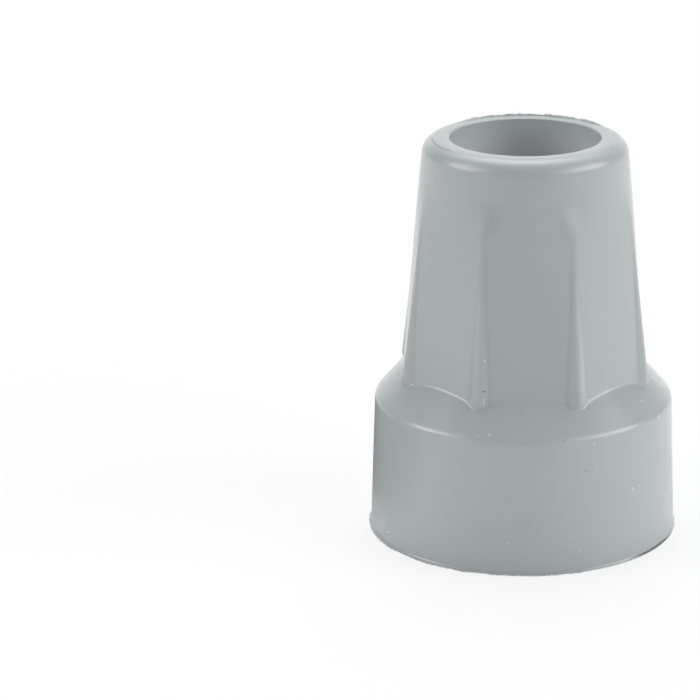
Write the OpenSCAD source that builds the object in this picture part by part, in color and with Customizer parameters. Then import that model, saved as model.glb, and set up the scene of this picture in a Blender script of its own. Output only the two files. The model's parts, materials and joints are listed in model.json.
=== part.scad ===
// Rubber cane tip: one moulded rubber piece that is pushed over the end of a walking stick.
// A tapered base with a ring tread carries an eight-sided neck with a rib along each corner.
// The origin is at the centre of the tread, on the floor, with +Z up along the socket.

/* [Overall] */
// Height from the floor to the rim
total_h = 51; // [48:0.5:60]

/* [Socket] */
// Diameter of the socket, the same as the stick that it takes
socket_d = 19; // [15:0.5:20]
// Depth of the socket from the rim to its floor
socket_depth = 36; // [28:0.5:40]
// Radius of the fillet round the floor of the socket
socket_floor_r = 0.8; // [0.3:0.1:2]

/* [Base] */
// Diameter of the base wall at the floor
base_d = 39.1; // [38.5:0.1:46]
// Diameter of the base at its top edge, before rounding
base_top_d = 37.9; // [36:0.1:38.4]
// Height of the base at its top edge, before rounding
base_h = 17.3; // [13:0.1:19]
// Radius of the rounded top edge of the base
base_edge_r = 1.5; // [0.5:0.1:2.5]
// Rise of the shoulder from level, in degrees
shoulder_angle = 49; // [38:1:56]
// How far the lip at the foot of the base stands out
lip_w = 0.2; // [0.1:0.05:0.6]
// Height of that lip
lip_h = 0.4; // [0.3:0.1:2]

/* [Neck] */
// Number of panels, and of the ribs between them
panel_count = 8; // [7:1:10]
// Distance across opposite panels where they meet the shoulder
flats_foot = 30.6; // [29.6:0.1:31.4]
// Distance across opposite panels where they meet the collar
flats_top = 26.8; // [26.2:0.1:28]
// Radius of the slight outward bow of each panel, across its width
panel_bow_r = 40; // [32:1:60]
// Radius of the rounded crest of a rib
rib_crest_r = 1.1; // [0.8:0.1:1.6]
// Slope of the flanks of a rib from its crest, in degrees
rib_flank_angle = 38; // [34:1:45]
// How far the crest of a rib stands beyond the middle of a panel, at the shoulder
rib_rise_foot = 1.3; // [1.1:0.05:1.8]
// How far it stands beyond the middle of a panel at the collar, where it has nearly faded
rib_rise_top = 0.3; // [0.2:0.05:0.9]
// How deep the centre of the rounded lower end of a rib lies under the shoulder
rib_foot_sink = 0.35; // [0.1:0.05:0.8]
// Slope of the upper ends of the ribs from upright, in degrees
rib_end_angle = 28; // [22:1:36]
// Radius that softens the upper ends of the ribs
rib_end_r = 1.6; // [0.5:0.1:2]

/* [Collar] */
// Height of the round collar, from the rib ends to the rim
collar_h = 6; // [5:0.1:9]
// How far the foot of the collar lies inside the panels
collar_inset = 0.05; // [0.02:0.01:0.2]
// Diameter of the collar at the rim, before rounding
collar_top_d = 25.5; // [25:0.1:26.2]
// Radius of the rounded edge of the rim
rim_edge_r = 2; // [1:0.1:2.2]

/* [Tread] */
// Diameter of the round pad in the middle of the tread
pad_d = 11.6; // [8:0.2:13]
// Width of the inner groove at the floor
inner_groove_w = 2.8; // [2.6:0.1:3.4]
// Width of the ring between the two grooves
middle_ring_w = 3.5; // [2.5:0.1:4.2]
// Width of the outer groove at the floor
outer_groove_w = 3.1; // [2.6:0.1:3.6]
// Depth of both grooves
groove_depth = 3.2; // [2:0.1:3.8]
// Draft of the groove walls from upright, in degrees
groove_draft = 12; // [4:1:14]
// Radius of the rounded corners of the groove floors
groove_floor_r = 0.6; // [0.2:0.05:0.7]

/* [Hidden] */
$fn = 120;

// A small overrun, so that no two faces coincide
overrun = 0.5;
// Half the angle between two neighbouring panels
half_turn = 180 / panel_count;

// Radii of the base, and the height at which a given radius meets the shoulder
base_r = base_d / 2;
base_top_r = base_top_d / 2;
function shoulder_z(radius) = base_h + (base_top_r - radius) * tan(shoulder_angle);

// Radius of the edges of the lip
lip_edge_r = min(lip_w / 2, lip_h / 5);

// The panels: distance from the axis at the shoulder and at the collar, and how far they lean
panel_foot_r = flats_foot / 2;
panel_top_r = flats_top / 2;
panel_foot_z = shoulder_z(panel_foot_r);
collar_z = total_h - collar_h;
panel_fall = (panel_foot_r - panel_top_r) / (collar_z - panel_foot_z);
function panel_r(z) = panel_foot_r - panel_fall * (z - panel_foot_z);

// The crests of the ribs, between the panels
crest_foot_r = panel_foot_r + rib_rise_foot;
crest_top_r = panel_top_r + rib_rise_top;
crest_fall = (crest_foot_r - crest_top_r) / (collar_z - panel_foot_z);
function crest_r(z) = crest_foot_r - crest_fall * (z - panel_foot_z);

// The rounded lower end of a rib
rib_end_centre_r = crest_foot_r - rib_crest_r;
rib_end_centre_z = shoulder_z(rib_end_centre_r) - rib_foot_sink;
// How far a rib and the neck run on inside the base and the collar
root = base_edge_r + overrun;
// How far the outline that shapes the ends of the ribs clears their crests
crest_margin = 0.2;
// How far the corners of the plain neck are trimmed back under the crests
corner_trim = 0.14;

// The collar
collar_top_r = collar_top_d / 2;
collar_foot_r = panel_top_r - collar_inset;
collar_fall = (collar_foot_r - collar_top_r) / collar_h;
function collar_r(z) = collar_foot_r - collar_fall * (z - collar_z);
// The height at which the sloping ends of the ribs reach the collar
rib_end_h = (crest_top_r - collar_foot_r) / tan(rib_end_angle);

// The tread
pad_r = pad_d / 2;
outer_groove_inner_r = pad_r + inner_groove_w + middle_ring_w;

// Where the rounding of a corner starts and ends, for a corner between two points
function unit(v) = v / norm(v);
function half_angle(before, corner, after) =
    acos(unit(before - corner) * unit(after - corner)) / 2;
function tangent_point(corner, toward, radius, half) =
    corner + unit(toward - corner) * radius / tan(half);
function arc_centre(before, corner, after, radius) =
    corner + unit(unit(before - corner) + unit(after - corner))
    * radius / sin(half_angle(before, corner, after));
function turns_left(before, corner, after) =
    (corner[0] - before[0]) * (after[1] - corner[1])
    - (corner[1] - before[1]) * (after[0] - corner[0]) > 0;

// An outline through corners given as [x, y, radius], anticlockwise, each rounded by a true arc
module rounded_outline(corners) {
    count = len(corners);
    points = [for (c = corners) [c[0], c[1]]];
    function before(i) = points[(i + count - 1) % count];
    function after(i) = points[(i + 1) % count];
    trimmed = [
        for (i = [0 : count - 1])
        let (radius = corners[i][2])
        let (half = half_angle(before(i), points[i], after(i)))
        for (toward = radius > 0 ? [before(i), after(i)] : [points[i]])
        radius > 0 ? tangent_point(points[i], toward, radius, half) : toward
    ];
    difference() {
        union() {
            polygon(trimmed);
            for (i = [0 : count - 1])
                if (corners[i][2] > 0 && turns_left(before(i), points[i], after(i)))
                    corner_disc(before(i), points[i], after(i), corners[i][2]);
        }
        for (i = [0 : count - 1])
            if (corners[i][2] > 0 && !turns_left(before(i), points[i], after(i)))
                corner_disc(before(i), points[i], after(i), corners[i][2]);
    }
}

module corner_disc(before, corner, after, radius) {
    translate(arc_centre(before, corner, after, radius))
        circle(radius);
}

// The base with its lip, and the shoulder up to where it is hidden inside the neck
module base_and_shoulder() {
    hidden_r = panel_foot_r - overrun;
    rotate_extrude()
        rounded_outline([
            [0, 0, 0],
            [base_r + lip_w, 0, lip_edge_r],
            [base_r + lip_w, lip_h / 2, lip_edge_r],
            [base_r - (base_r - base_top_r) * lip_h / base_h, lip_h, 2 * lip_edge_r],
            [base_top_r, base_h, base_edge_r],
            [hidden_r, shoulder_z(hidden_r), 0],
            [0, shoulder_z(hidden_r), 0]
        ]);
}

// The round collar with its rounded rim
module collar() {
    hidden_z = collar_z - overrun;
    rotate_extrude()
        rounded_outline([
            [0, hidden_z, 0],
            [collar_r(hidden_z), hidden_z, 0],
            [collar_top_r, total_h, rim_edge_r],
            [0, total_h, 0]
        ]);
}

// An outline of the neck, a given distance outside the crests. It slopes in at the collar,
// from a corner that is rounded by corner_r.
module neck_outline(low_z, outside_crests, corner_r) {
    slope_z = collar_z - rib_end_h / 2;
    slope_r = crest_r(slope_z) + outside_crests;
    hidden_r = collar_foot_r - overrun;
    hidden_z = slope_z + (slope_r - hidden_r) / tan(rib_end_angle);
    rounded_outline([
        [0, low_z, 0],
        [crest_r(low_z) + outside_crests, low_z, 0],
        [slope_r, slope_z, corner_r],
        [hidden_r, hidden_z, 0],
        [0, hidden_z, 0]
    ]);
}

// The tapered neck with its slightly bowed panels, and with plain corners under the crests
module panelled_neck() {
    low_z = rib_end_centre_z - root;
    difference() {
        rotate_extrude()
            neck_outline(low_z, -corner_trim, 0);
        for (i = [0 : panel_count - 1])
            rotate(i * 2 * half_turn)
                panel_cut(low_z - overrun, total_h);
    }
}

// What is cut away outside one panel, on the -Y side, leaning with the panel
module panel_cut(low_z, high_z) {
    outside = crest_foot_r * 2;
    lean = atan(panel_fall);
    translate([0, -panel_r(low_z), low_z])
        rotate([-lean, 0, 0])
            linear_extrude(height = (high_z - low_z) / cos(lean))
                difference() {
                    square(outside, center = true);
                    translate([0, panel_bow_r])
                        circle(panel_bow_r);
                }
}

// Cross-section of a rib: a rounded crest at the origin with two flanks that spread inward
module rib_section() {
    flank_l = rib_crest_r * 2;
    tangent = [cos(rib_flank_angle) - 1, sin(rib_flank_angle)] * rib_crest_r;
    inner = tangent + [-sin(rib_flank_angle), cos(rib_flank_angle)] * flank_l;
    translate([-rib_crest_r, 0])
        circle(rib_crest_r);
    polygon([
        tangent,
        inner,
        [inner[0], -inner[1]],
        [tangent[0], -tangent[1]]
    ]);
}

// One rib before its ends are shaped, leaning with its crest, on the +X side
module rib() {
    low_z = rib_end_centre_z - root;
    translate([crest_r(low_z), 0, low_z])
        rotate([0, -atan(crest_fall), 0])
            linear_extrude(height = total_h - low_z)
                rib_section();
}

// The ribs, with rounded lower ends on the shoulder and sloping upper ends at the collar
module ribs() {
    intersection() {
        rotate_extrude() {
            neck_outline(rib_end_centre_z, crest_margin, rib_end_r);
            translate([rib_end_centre_r, rib_end_centre_z])
                circle(rib_crest_r + crest_margin);
            translate([0, rib_end_centre_z - root])
                square([rib_end_centre_r, root]);
        }
        for (i = [0 : panel_count - 1])
            rotate(i * 2 * half_turn + half_turn - 90)
                rib();
    }
}

// The socket for the stick, with a fillet round its floor
module socket() {
    floor_z = total_h - socket_depth;
    socket_r = socket_d / 2;
    rotate_extrude()
        rounded_outline([
            [0, floor_z, 0],
            [socket_r, floor_z, socket_floor_r],
            [socket_r, total_h + overrun, 0],
            [0, total_h + overrun, 0]
        ]);
}

// One ring groove of the tread, with drafted walls and a rounded floor
module groove(inner_r, width) {
    narrowing = groove_depth * tan(groove_draft);
    spread = overrun * tan(groove_draft);
    rotate_extrude()
        rounded_outline([
            [inner_r - spread, -overrun, 0],
            [inner_r + width + spread, -overrun, 0],
            [inner_r + width - narrowing, groove_depth, groove_floor_r],
            [inner_r + narrowing, groove_depth, groove_floor_r]
        ]);
}

module cane_tip() {
    color([0.62, 0.65, 0.65])
        difference() {
            union() {
                base_and_shoulder();
                panelled_neck();
                ribs();
                collar();
            }
            socket();
            groove(pad_r, inner_groove_w);
            groove(outer_groove_inner_r, outer_groove_w);
        }
}

cane_tip();
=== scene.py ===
"""A grey rubber cane tip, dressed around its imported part.

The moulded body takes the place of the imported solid. It is turned from one outline, and a tree of
geometry nodes raises the bowed panels and the ribs of its neck. The torn flash that the mould left
on the rim and the foot, and the dust that soft rubber picks up, are pieces of their own.
Lengths are in metres, unless a docstring gives another unit.
"""

import json
import logging
import math
from dataclasses import dataclass, field
from enum import Enum
from typing import Any, Iterable, Sequence

import bmesh
import bpy
from mathutils import Matrix, Vector


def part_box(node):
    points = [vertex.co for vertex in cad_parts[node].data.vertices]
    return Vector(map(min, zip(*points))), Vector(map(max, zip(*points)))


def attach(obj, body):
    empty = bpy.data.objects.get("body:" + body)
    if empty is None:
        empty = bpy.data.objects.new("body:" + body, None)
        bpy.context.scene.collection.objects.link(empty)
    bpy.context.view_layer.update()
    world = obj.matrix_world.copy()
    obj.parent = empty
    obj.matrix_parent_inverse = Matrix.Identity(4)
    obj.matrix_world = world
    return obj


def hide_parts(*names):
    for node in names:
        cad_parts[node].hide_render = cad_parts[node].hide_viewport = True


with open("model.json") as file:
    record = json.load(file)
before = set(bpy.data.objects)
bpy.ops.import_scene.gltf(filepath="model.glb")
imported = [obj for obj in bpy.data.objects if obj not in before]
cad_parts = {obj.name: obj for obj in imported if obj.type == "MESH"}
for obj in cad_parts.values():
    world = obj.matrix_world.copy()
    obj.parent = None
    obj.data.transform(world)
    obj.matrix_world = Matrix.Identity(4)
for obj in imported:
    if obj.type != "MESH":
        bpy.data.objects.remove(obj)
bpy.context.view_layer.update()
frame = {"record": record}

LOG = logging.getLogger("cane_tip")
MM = 0.001
BODY = "root"
CAD_NODE = "cane_tip"
SOCKET_DEPTH = 36.0 * MM
# Mesh attribute that pales edges for wear and, at the foot's lip, as a painted highlight.
WEAR_AND_HIGHLIGHT_EDGE = "wear_and_highlight_edge"
# Mesh attribute of the neck's creases, which are darkened there as painted shade.
CREASE = "crease"
TORN = "torn"
Colour = tuple[float, float, float]


# ---------------------------------------------------------------- node trees


class Value:
    """A number that a node tree works out, which Python's operators combine."""

    def __init__(self, maker: "NodeMaker", socket: bpy.types.NodeSocket) -> None:
        """Wraps an output socket.

        Args:
            maker: the helper of the tree that the socket is in.
            socket: the output that carries the number.
        """
        self.maker = maker
        self.socket = socket

    def __add__(self, other: "Value | float") -> "Value":
        """Sum."""
        return self.maker.math("ADD", self, other)

    __radd__ = __add__

    def __mul__(self, other: "Value | float") -> "Value":
        """Product."""
        return self.maker.math("MULTIPLY", self, other)

    __rmul__ = __mul__

    def __sub__(self, other: "Value | float") -> "Value":
        """Difference."""
        return self.maker.math("SUBTRACT", self, other)

    def __rsub__(self, other: float) -> "Value":
        """Difference from a plain number."""
        return self.maker.math("SUBTRACT", other, self)

    def __truediv__(self, other: "Value | float") -> "Value":
        """Quotient."""
        return self.maker.math("DIVIDE", self, other)

    def __rtruediv__(self, other: float) -> "Value":
        """Quotient of a plain number."""
        return self.maker.math("DIVIDE", other, self)


class NodeMaker:
    """Adds nodes to one node tree and joins them."""

    def __init__(self, tree: bpy.types.NodeTree) -> None:
        """Takes the tree to add to.

        Args:
            tree: a shader, world or geometry node tree.
        """
        self.tree = tree

    def feed(self, socket: bpy.types.NodeSocket, value: Any) -> None:
        """Links a socket to a value's socket, or sets it to a constant.

        Args:
            socket: the input to feed.
            value: a Value, an output socket, or a constant.
        """
        if isinstance(value, Value):
            value = value.socket
        if isinstance(value, bpy.types.NodeSocket):
            self.tree.links.new(value, socket)
        else:
            socket.default_value = value

    def add(
        self,
        kind: str,
        inputs: dict[str | int, Any] | None = None,
        **settings: Any,
    ) -> bpy.types.Node:
        """Adds a node.

        Args:
            kind: the node's type name.
            inputs: what feeds each input, by name or by place.
            settings: the node's own settings.

        Returns:
            The new node.
        """
        node = self.tree.nodes.new(kind)
        for name, setting in settings.items():
            setattr(node, name, setting)
        for key, value in (inputs or {}).items():
            self.feed(node.inputs[key], value)
        return node

    def value(self, socket: bpy.types.NodeSocket) -> Value:
        """An output socket as a Value."""
        return Value(self, socket)

    def math(self, operation: str, *operands: "Value | float") -> Value:
        """Adds a Math node.

        Args:
            operation: the node's operation.
            operands: its inputs in order.

        Returns:
            Its result.
        """
        node = self.add("ShaderNodeMath", dict(enumerate(operands)), operation=operation)
        return self.value(node.outputs[0])

    def larger_softly(
        self, a: "Value | float", b: "Value | float", soft: "Value | float"
    ) -> Value:
        """The larger of two numbers, blended where they differ by less than soft."""
        return self.math("SMOOTH_MAX", a, b, soft)

    def smaller_softly(
        self, a: "Value | float", b: "Value | float", soft: "Value | float"
    ) -> Value:
        """The smaller of two numbers, blended where they differ by less than soft."""
        return self.math("SMOOTH_MIN", a, b, soft)

    def ramp(self, x: "Value | float", low: "Value | float", high: "Value | float") -> Value:
        """A smooth rise from 0 at low to 1 at high."""
        node = self.add(
            "ShaderNodeMapRange",
            {"Value": x, "From Min": low, "From Max": high},
            interpolation_type="SMOOTHSTEP",
        )
        return self.value(node.outputs["Result"])

    def noise(
        self, vector: bpy.types.NodeSocket, scale: "Value | float", detail: float = 2.0
    ) -> Value:
        """A fractal noise from 0 to 1 over a vector."""
        node = self.add("ShaderNodeTexNoise", {"Vector": vector, "Scale": scale, "Detail": detail})
        return self.value(node.outputs[0])

    def mix(self, amount: Value, a: Any, b: Any) -> bpy.types.NodeSocket:
        """Mixes two colours.

        Args:
            amount: how much of b there is, from 0 to 1.
            a: the first colour, as numbers or as a socket.
            b: the second colour, as numbers or as a socket.

        Returns:
            The mixed colour.
        """
        node = self.add("ShaderNodeMix", {"Factor": amount}, data_type="RGBA")
        for key, colour in (("A", a), ("B", b)):
            socket = next(s for s in node.inputs if s.name == key and s.type == "RGBA")
            self.feed(socket, (*colour, 1.0) if isinstance(colour, tuple) else colour)
        return next(s for s in node.outputs if s.type == "RGBA")

    def bump(
        self, height: Value, depth: float, under: bpy.types.NodeSocket | None = None
    ) -> bpy.types.NodeSocket:
        """Adds a bump, over another one if there is one.

        Args:
            height: the height of the surface, from 0 to 1.
            depth: how far 1 stands above 0.
            under: the normal of the bump under it.

        Returns:
            Its normal.
        """
        node = self.add("ShaderNodeBump", {"Height": height, "Distance": depth, "Strength": 1.0})
        if under is not None:
            self.feed(node.inputs["Normal"], under)
        return node.outputs["Normal"]


@dataclass(frozen=True)
class Place:
    """A point beside the upright axis, as a node tree sees it.

    Attributes:
        point: the point itself.
        x: its X.
        y: its Y.
        z: its height.
        radius: its distance from the axis.
        turn: its azimuth, from -Y towards +X.
    """

    point: bpy.types.NodeSocket
    x: Value
    y: Value
    z: Value
    radius: Value
    turn: Value

    @classmethod
    def of(cls, maker: NodeMaker, point: bpy.types.NodeSocket) -> "Place":
        """Works out all of these numbers.

        Args:
            maker: the helper of the tree.
            point: the point.

        Returns:
            The point with its numbers.
        """
        parts = maker.add("ShaderNodeSeparateXYZ", {0: point})
        x, y, z = (maker.value(socket) for socket in parts.outputs)
        radius = maker.math("SQRT", x * x + y * y)
        return cls(point, x, y, z, radius, maker.math("ARCTAN2", x, y * -1.0))

    def moved(self, maker: NodeMaker, radius: Value, z: Value) -> bpy.types.NodeSocket:
        """Moves the point, with its azimuth kept.

        Args:
            maker: the helper of the tree.
            radius: its new distance from the axis.
            z: its new height.

        Returns:
            The moved point.
        """
        grow = radius / self.radius
        node = maker.add("ShaderNodeCombineXYZ", {"X": self.x * grow, "Y": self.y * grow, "Z": z})
        return node.outputs[0]


class MaterialTree(NodeMaker):
    """The node tree of a new material on Object coordinates."""

    def __init__(self, name: str) -> None:
        """Starts the material.

        Args:
            name: the material's name.
        """
        self.material = bpy.data.materials.new(name)
        self.material.use_nodes = True
        self.material.node_tree.nodes.clear()
        super().__init__(self.material.node_tree)
        self.point = self.add("ShaderNodeTexCoord").outputs["Object"]

    def attribute(self, name: str) -> Value:
        """A named attribute of the mesh."""
        return self.value(self.add("ShaderNodeAttribute", attribute_name=name).outputs["Fac"])

    def close(self, shader: bpy.types.NodeSocket) -> bpy.types.Material:
        """Ends the material in a shader.

        Args:
            shader: what the surface looks like.

        Returns:
            The finished material.
        """
        leave = self.add("ShaderNodeOutputMaterial")
        self.feed(leave.inputs["Surface"], shader)
        return self.material


class GeometryTree(NodeMaker):
    """A geometry node tree with named inputs, run once on a mesh."""

    def __init__(self, name: str, material: bpy.types.Material) -> None:
        """Starts an empty tree.

        Args:
            name: the tree's name.
            material: the finish that its last node sets.
        """
        super().__init__(bpy.data.node_groups.new(name, "GeometryNodeTree"))
        self.material = material
        self.settings: dict[str, Any] = {}
        for way in ("INPUT", "OUTPUT"):
            self.tree.interface.new_socket(
                "Geometry", in_out=way, socket_type="NodeSocketGeometry"
            )
        self.entry = self.tree.nodes.new("NodeGroupInput")
        self.exit = self.tree.nodes.new("NodeGroupOutput")

    @property
    def geometry(self) -> bpy.types.NodeSocket:
        """The geometry that comes in."""
        return self.entry.outputs["Geometry"]

    def size(self, name: str, value: float) -> Value:
        """Makes a named number input and holds the value to give it.

        Args:
            name: the input's name.
            value: what the modifier sets it to.

        Returns:
            The input as a Value.
        """
        socket = self.tree.interface.new_socket(
            name, in_out="INPUT", socket_type="NodeSocketFloat"
        )
        self.settings[socket.identifier] = value
        return self.value(self.entry.outputs[name])

    def close(self, geometry: bpy.types.NodeSocket) -> None:
        """Ends the tree in Realize Instances and Set Material.

        Args:
            geometry: what the tree has made.
        """
        real = self.add("GeometryNodeRealizeInstances", {"Geometry": geometry})
        dressed = self.add(
            "GeometryNodeSetMaterial", {"Geometry": real.outputs[0], "Material": self.material}
        )
        self.tree.links.new(dressed.outputs[0], self.exit.inputs["Geometry"])

    def run(self, source: bpy.types.Mesh, name: str) -> bpy.types.Object:
        """Runs the tree on a mesh and keeps the result as a plain mesh.

        Args:
            source: the mesh that goes in.
            name: the name of the piece that comes out.

        Returns:
            The new piece, with no modifier left.
        """
        seed = bpy.data.objects.new(name + "_source", source)
        bpy.context.scene.collection.objects.link(seed)
        modifier = seed.modifiers.new("nodes", "NODES")
        modifier.node_group = self.tree
        for identifier, setting in self.settings.items():
            modifier[identifier] = setting
        graph = bpy.context.evaluated_depsgraph_get()
        mesh = bpy.data.meshes.new_from_object(
            seed.evaluated_get(graph), preserve_all_data_layers=True, depsgraph=graph
        )
        bpy.data.objects.remove(seed)
        mesh.name = name
        mesh.materials.clear()
        mesh.materials.append(self.material)
        piece = bpy.data.objects.new(name, mesh)
        bpy.context.scene.collection.objects.link(piece)
        return piece


# ---------------------------------------------------------------- finishes


class GroupName(Enum):
    """The shader effects that are used more than once."""

    GRAIN = "moulded_grain"
    MOTTLE = "tone_mottle"
    MARK = "surface_mark"


GROUP_INPUTS = {
    GroupName.GRAIN: ("Scale",),
    GroupName.MOTTLE: ("Scale",),
    GroupName.MARK: ("Tears", "Turn", "Height", "Length", "Width", "Tilt", "Raggedness"),
}


def grain_value(maker: NodeMaker, place: bpy.types.NodeSocket, sizes: dict[str, Value]) -> Value:
    """The fine grain of a moulded surface, as a height from 0 to 1."""
    cells = maker.add(
        "ShaderNodeTexVoronoi",
        {"Vector": place, "Scale": sizes["Scale"] * 0.45},
        feature="SMOOTH_F1",
    )
    return maker.noise(place, sizes["Scale"], 3.0) * 0.6 + maker.value(cells.outputs[0]) * 0.4


def mottle_value(maker: NodeMaker, place: bpy.types.NodeSocket, sizes: dict[str, Value]) -> Value:
    """Makes broad clouds of tone with a little fine dusting in them.

    Args:
        maker: the helper of the group's tree.
        place: the point.
        sizes: the group's own numbers.

    Returns:
        Their tone from 0 to 1.
    """
    broad = maker.noise(place, sizes["Scale"], 1.0)
    dusting = maker.noise(place, sizes["Scale"] * 40.0)
    return maker.ramp(broad * 0.7 + dusting * 0.3, 0.25, 0.75)


def mark_value(maker: NodeMaker, place: bpy.types.NodeSocket, sizes: dict[str, Value]) -> Value:
    """Makes a small oval mark with a ragged edge on a round surface.

    Args:
        maker: the helper of the group's tree.
        place: the point's azimuth, height and distance from the axis.
        sizes: the group's own numbers. The tilt is from the horizontal.

    Returns:
        A mask from 0 to 1.
    """
    parts = maker.add("ShaderNodeSeparateXYZ", {0: place})
    azimuth, height, radius = (maker.value(socket) for socket in parts.outputs)
    across = maker.math("WRAP", azimuth - sizes["Turn"], math.pi, -math.pi) * radius
    above = height - sizes["Height"]
    cosine, sine = (maker.math(name, sizes["Tilt"]) for name in ("COSINE", "SINE"))
    along = (across * cosine + above * sine) / (sizes["Length"] * 0.5)
    aside = (above * cosine - across * sine) / (sizes["Width"] * 0.5)
    reach = maker.math("SQRT", along * along + aside * aside)
    return 1.0 - maker.ramp(reach + sizes["Tears"] * sizes["Raggedness"], 0.55, 1.1)


GROUP_VALUES = {
    GroupName.GRAIN: grain_value,
    GroupName.MOTTLE: mottle_value,
    GroupName.MARK: mark_value,
}


def shader_group(name: GroupName) -> bpy.types.NodeTree:
    """Finds a shared shader effect, or builds it the first time.

    Args:
        name: which effect.

    Returns:
        Its node group, which takes a Vector and the effect's own numbers and puts out a Value.
    """
    found = bpy.data.node_groups.get(name.value)
    if found:
        return found
    group = bpy.data.node_groups.new(name.value, "ShaderNodeTree")
    group.interface.new_socket("Vector", in_out="INPUT", socket_type="NodeSocketVector")
    for title in GROUP_INPUTS[name]:
        group.interface.new_socket(title, in_out="INPUT", socket_type="NodeSocketFloat")
    group.interface.new_socket("Value", in_out="OUTPUT", socket_type="NodeSocketFloat")
    maker = NodeMaker(group)
    entry = group.nodes.new("NodeGroupInput")
    sizes = {title: maker.value(entry.outputs[title]) for title in GROUP_INPUTS[name]}
    leave = group.nodes.new("NodeGroupOutput")
    maker.feed(leave.inputs["Value"], GROUP_VALUES[name](maker, entry.outputs["Vector"], sizes))
    return group


def use_group(
    maker: NodeMaker, name: GroupName, place: bpy.types.NodeSocket, *numbers: "Value | float"
) -> Value:
    """Places a shared effect in a material.

    Args:
        maker: the helper of the material's tree.
        name: which effect.
        place: the vector that it lies on.
        numbers: its own numbers, in the order of GROUP_INPUTS.

    Returns:
        Its value.
    """
    node = maker.add("ShaderNodeGroup", node_tree=shader_group(name))
    maker.feed(node.inputs["Vector"], place)
    for title, number in zip(GROUP_INPUTS[name], numbers):
        maker.feed(node.inputs[title], number)
    return maker.value(node.outputs["Value"])


@dataclass(frozen=True)
class Mark:
    """A small mark on the outside of the rubber: a scuff, a scratch, a speck pressed into it, or a
    painted highlight or shadow.

    Attributes:
        turn: azimuth of its middle in degrees, positive on the right of the front.
        height: height of its middle in millimetres.
        length: its length in millimetres.
        width: its width in millimetres.
        shade: how strongly it pales the rubber, or darkens it where the number is below 0.
        tilt: angle in degrees between its length and the horizontal.
        raggedness: how torn its edge is.
    """

    turn: float
    height: float
    length: float
    width: float
    shade: float
    tilt: float = 0.0
    raggedness: float = 0.3

    def value(self, maker: NodeMaker, skin: bpy.types.NodeSocket, tears: Value) -> Value:
        """Works out the mark's shade at a place on the surface.

        Args:
            maker: the helper of the material's tree.
            skin: azimuth, height and distance from the axis.
            tears: noise about 0 that tears its edge.

        Returns:
            Its shade where it lies and 0 elsewhere.
        """
        return self.shade * use_group(
            maker,
            GroupName.MARK,
            skin,
            tears,
            math.radians(self.turn),
            self.height * MM,
            self.length * MM,
            self.width * MM,
            math.radians(self.tilt),
            self.raggedness,
        )


PALE_SPECKS = (
    Mark(-7.1, 4.2, 0.2, 0.16, 0.8),
    Mark(15.3, 4.7, 0.16, 0.16, 0.7),
    Mark(23.0, 4.2, 0.2, 0.14, 0.6),
    Mark(-15.2, 17.9, 0.3, 0.16, 0.9, 35.0),
    Mark(-19.5, 17.7, 0.2, 0.16, 0.7),
    Mark(-19.9, 26.4, 0.16, 0.28, 1.0),
    Mark(-16.4, 27.1, 0.16, 0.16, 0.7),
    Mark(-63.0, 20.9, 0.25, 0.2, 0.9),
    Mark(-31.3, 44.2, 0.18, 0.14, 0.6),
    Mark(-48.4, 45.9, 0.18, 0.14, 0.6),
    Mark(-27.3, 35.8, 0.16, 0.16, 0.6),
    Mark(-8.0, 30.5, 0.16, 0.16, 0.35),
    Mark(46.8, 9.4, 0.17, 0.17, 0.8),
    Mark(25.1, 16.4, 0.26, 0.26, 0.5),
)
DARK_SPECKS = (
    Mark(-19.9, 22.6, 0.38, 0.17, -0.9),
    Mark(9.5, 17.8, 0.3, 0.14, -0.4, -20.0),
    Mark(14.1, 19.6, 0.18, 0.16, -0.6),
    Mark(13.1, 17.3, 0.28, 0.24, -0.4),
    Mark(11.3, 45.1, 0.16, 0.16, -0.8),
    Mark(21.8, 13.1, 0.32, 0.26, -0.5),
    Mark(87.7, 19.2, 0.3, 0.24, -0.8),
    Mark(-31.0, 30.0, 0.16, 0.16, -0.3),
)
# Scuffs and scratches, with two painted highlights and a painted shadow among them.
SCUFFS_AND_PAINTED_SHADING = (
    Mark(25.2, 12.6, 3.0, 0.16, 0.13, 61.0, 1.2),
    Mark(43.2, 9.3, 0.75, 0.4, 0.26, -50.0, 0.9),
    Mark(19.4, 8.6, 0.7, 0.2, 0.1, 0.0, 0.9),
    # Painted highlight: a faint broad pale patch low on the left, where the wall curves.
    Mark(-67.5, 2.1, 3.4, 2.6, 0.06, 60.0, 1.6),
    # Painted highlight: a short pale streak low on the left.
    Mark(-63.0, 1.7, 1.2, 0.14, 0.5, 30.0, 0.6),
    Mark(-30.0, 2.2, 10.4, 0.14, 0.1, 11.0, 1.3),
    Mark(-6.0, 3.4, 6.6, 0.13, 0.13, 5.0, 1.3),
    Mark(12.0, 3.6, 6.2, 0.13, 0.13, -1.0, 1.3),
    Mark(19.2, 2.7, 1.0, 0.12, 0.24, 75.0, 0.7),
    Mark(57.2, 19.3, 0.4, 0.4, 0.3, 0.0, 0.7),
    Mark(61.8, 17.0, 0.14, 0.9, 0.8, 0.0, 0.4),
    Mark(82.0, 19.7, 2.6, 1.5, 0.13, -40.0, 1.2),
    Mark(-19.5, 21.3, 0.14, 1.1, 0.4, 0.0, 0.5),
    # Painted shadow: a dark ragged band along the bottom edge on the right, for the shade in the
    # gap under the foot.
    Mark(56.0, 0.22, 11.0, 0.34, -0.75, 0.0, 1.6),
)
# Thin dark lines along the outer edge of the rim.
RIM_DARK_LINES = (
    Mark(-72.0, 50.88, 9.5, 0.036, -0.8, 0.0, 0.6),
    Mark(104.0, 50.88, 6.0, 0.036, -0.7, 0.0, 0.8),
)


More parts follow.
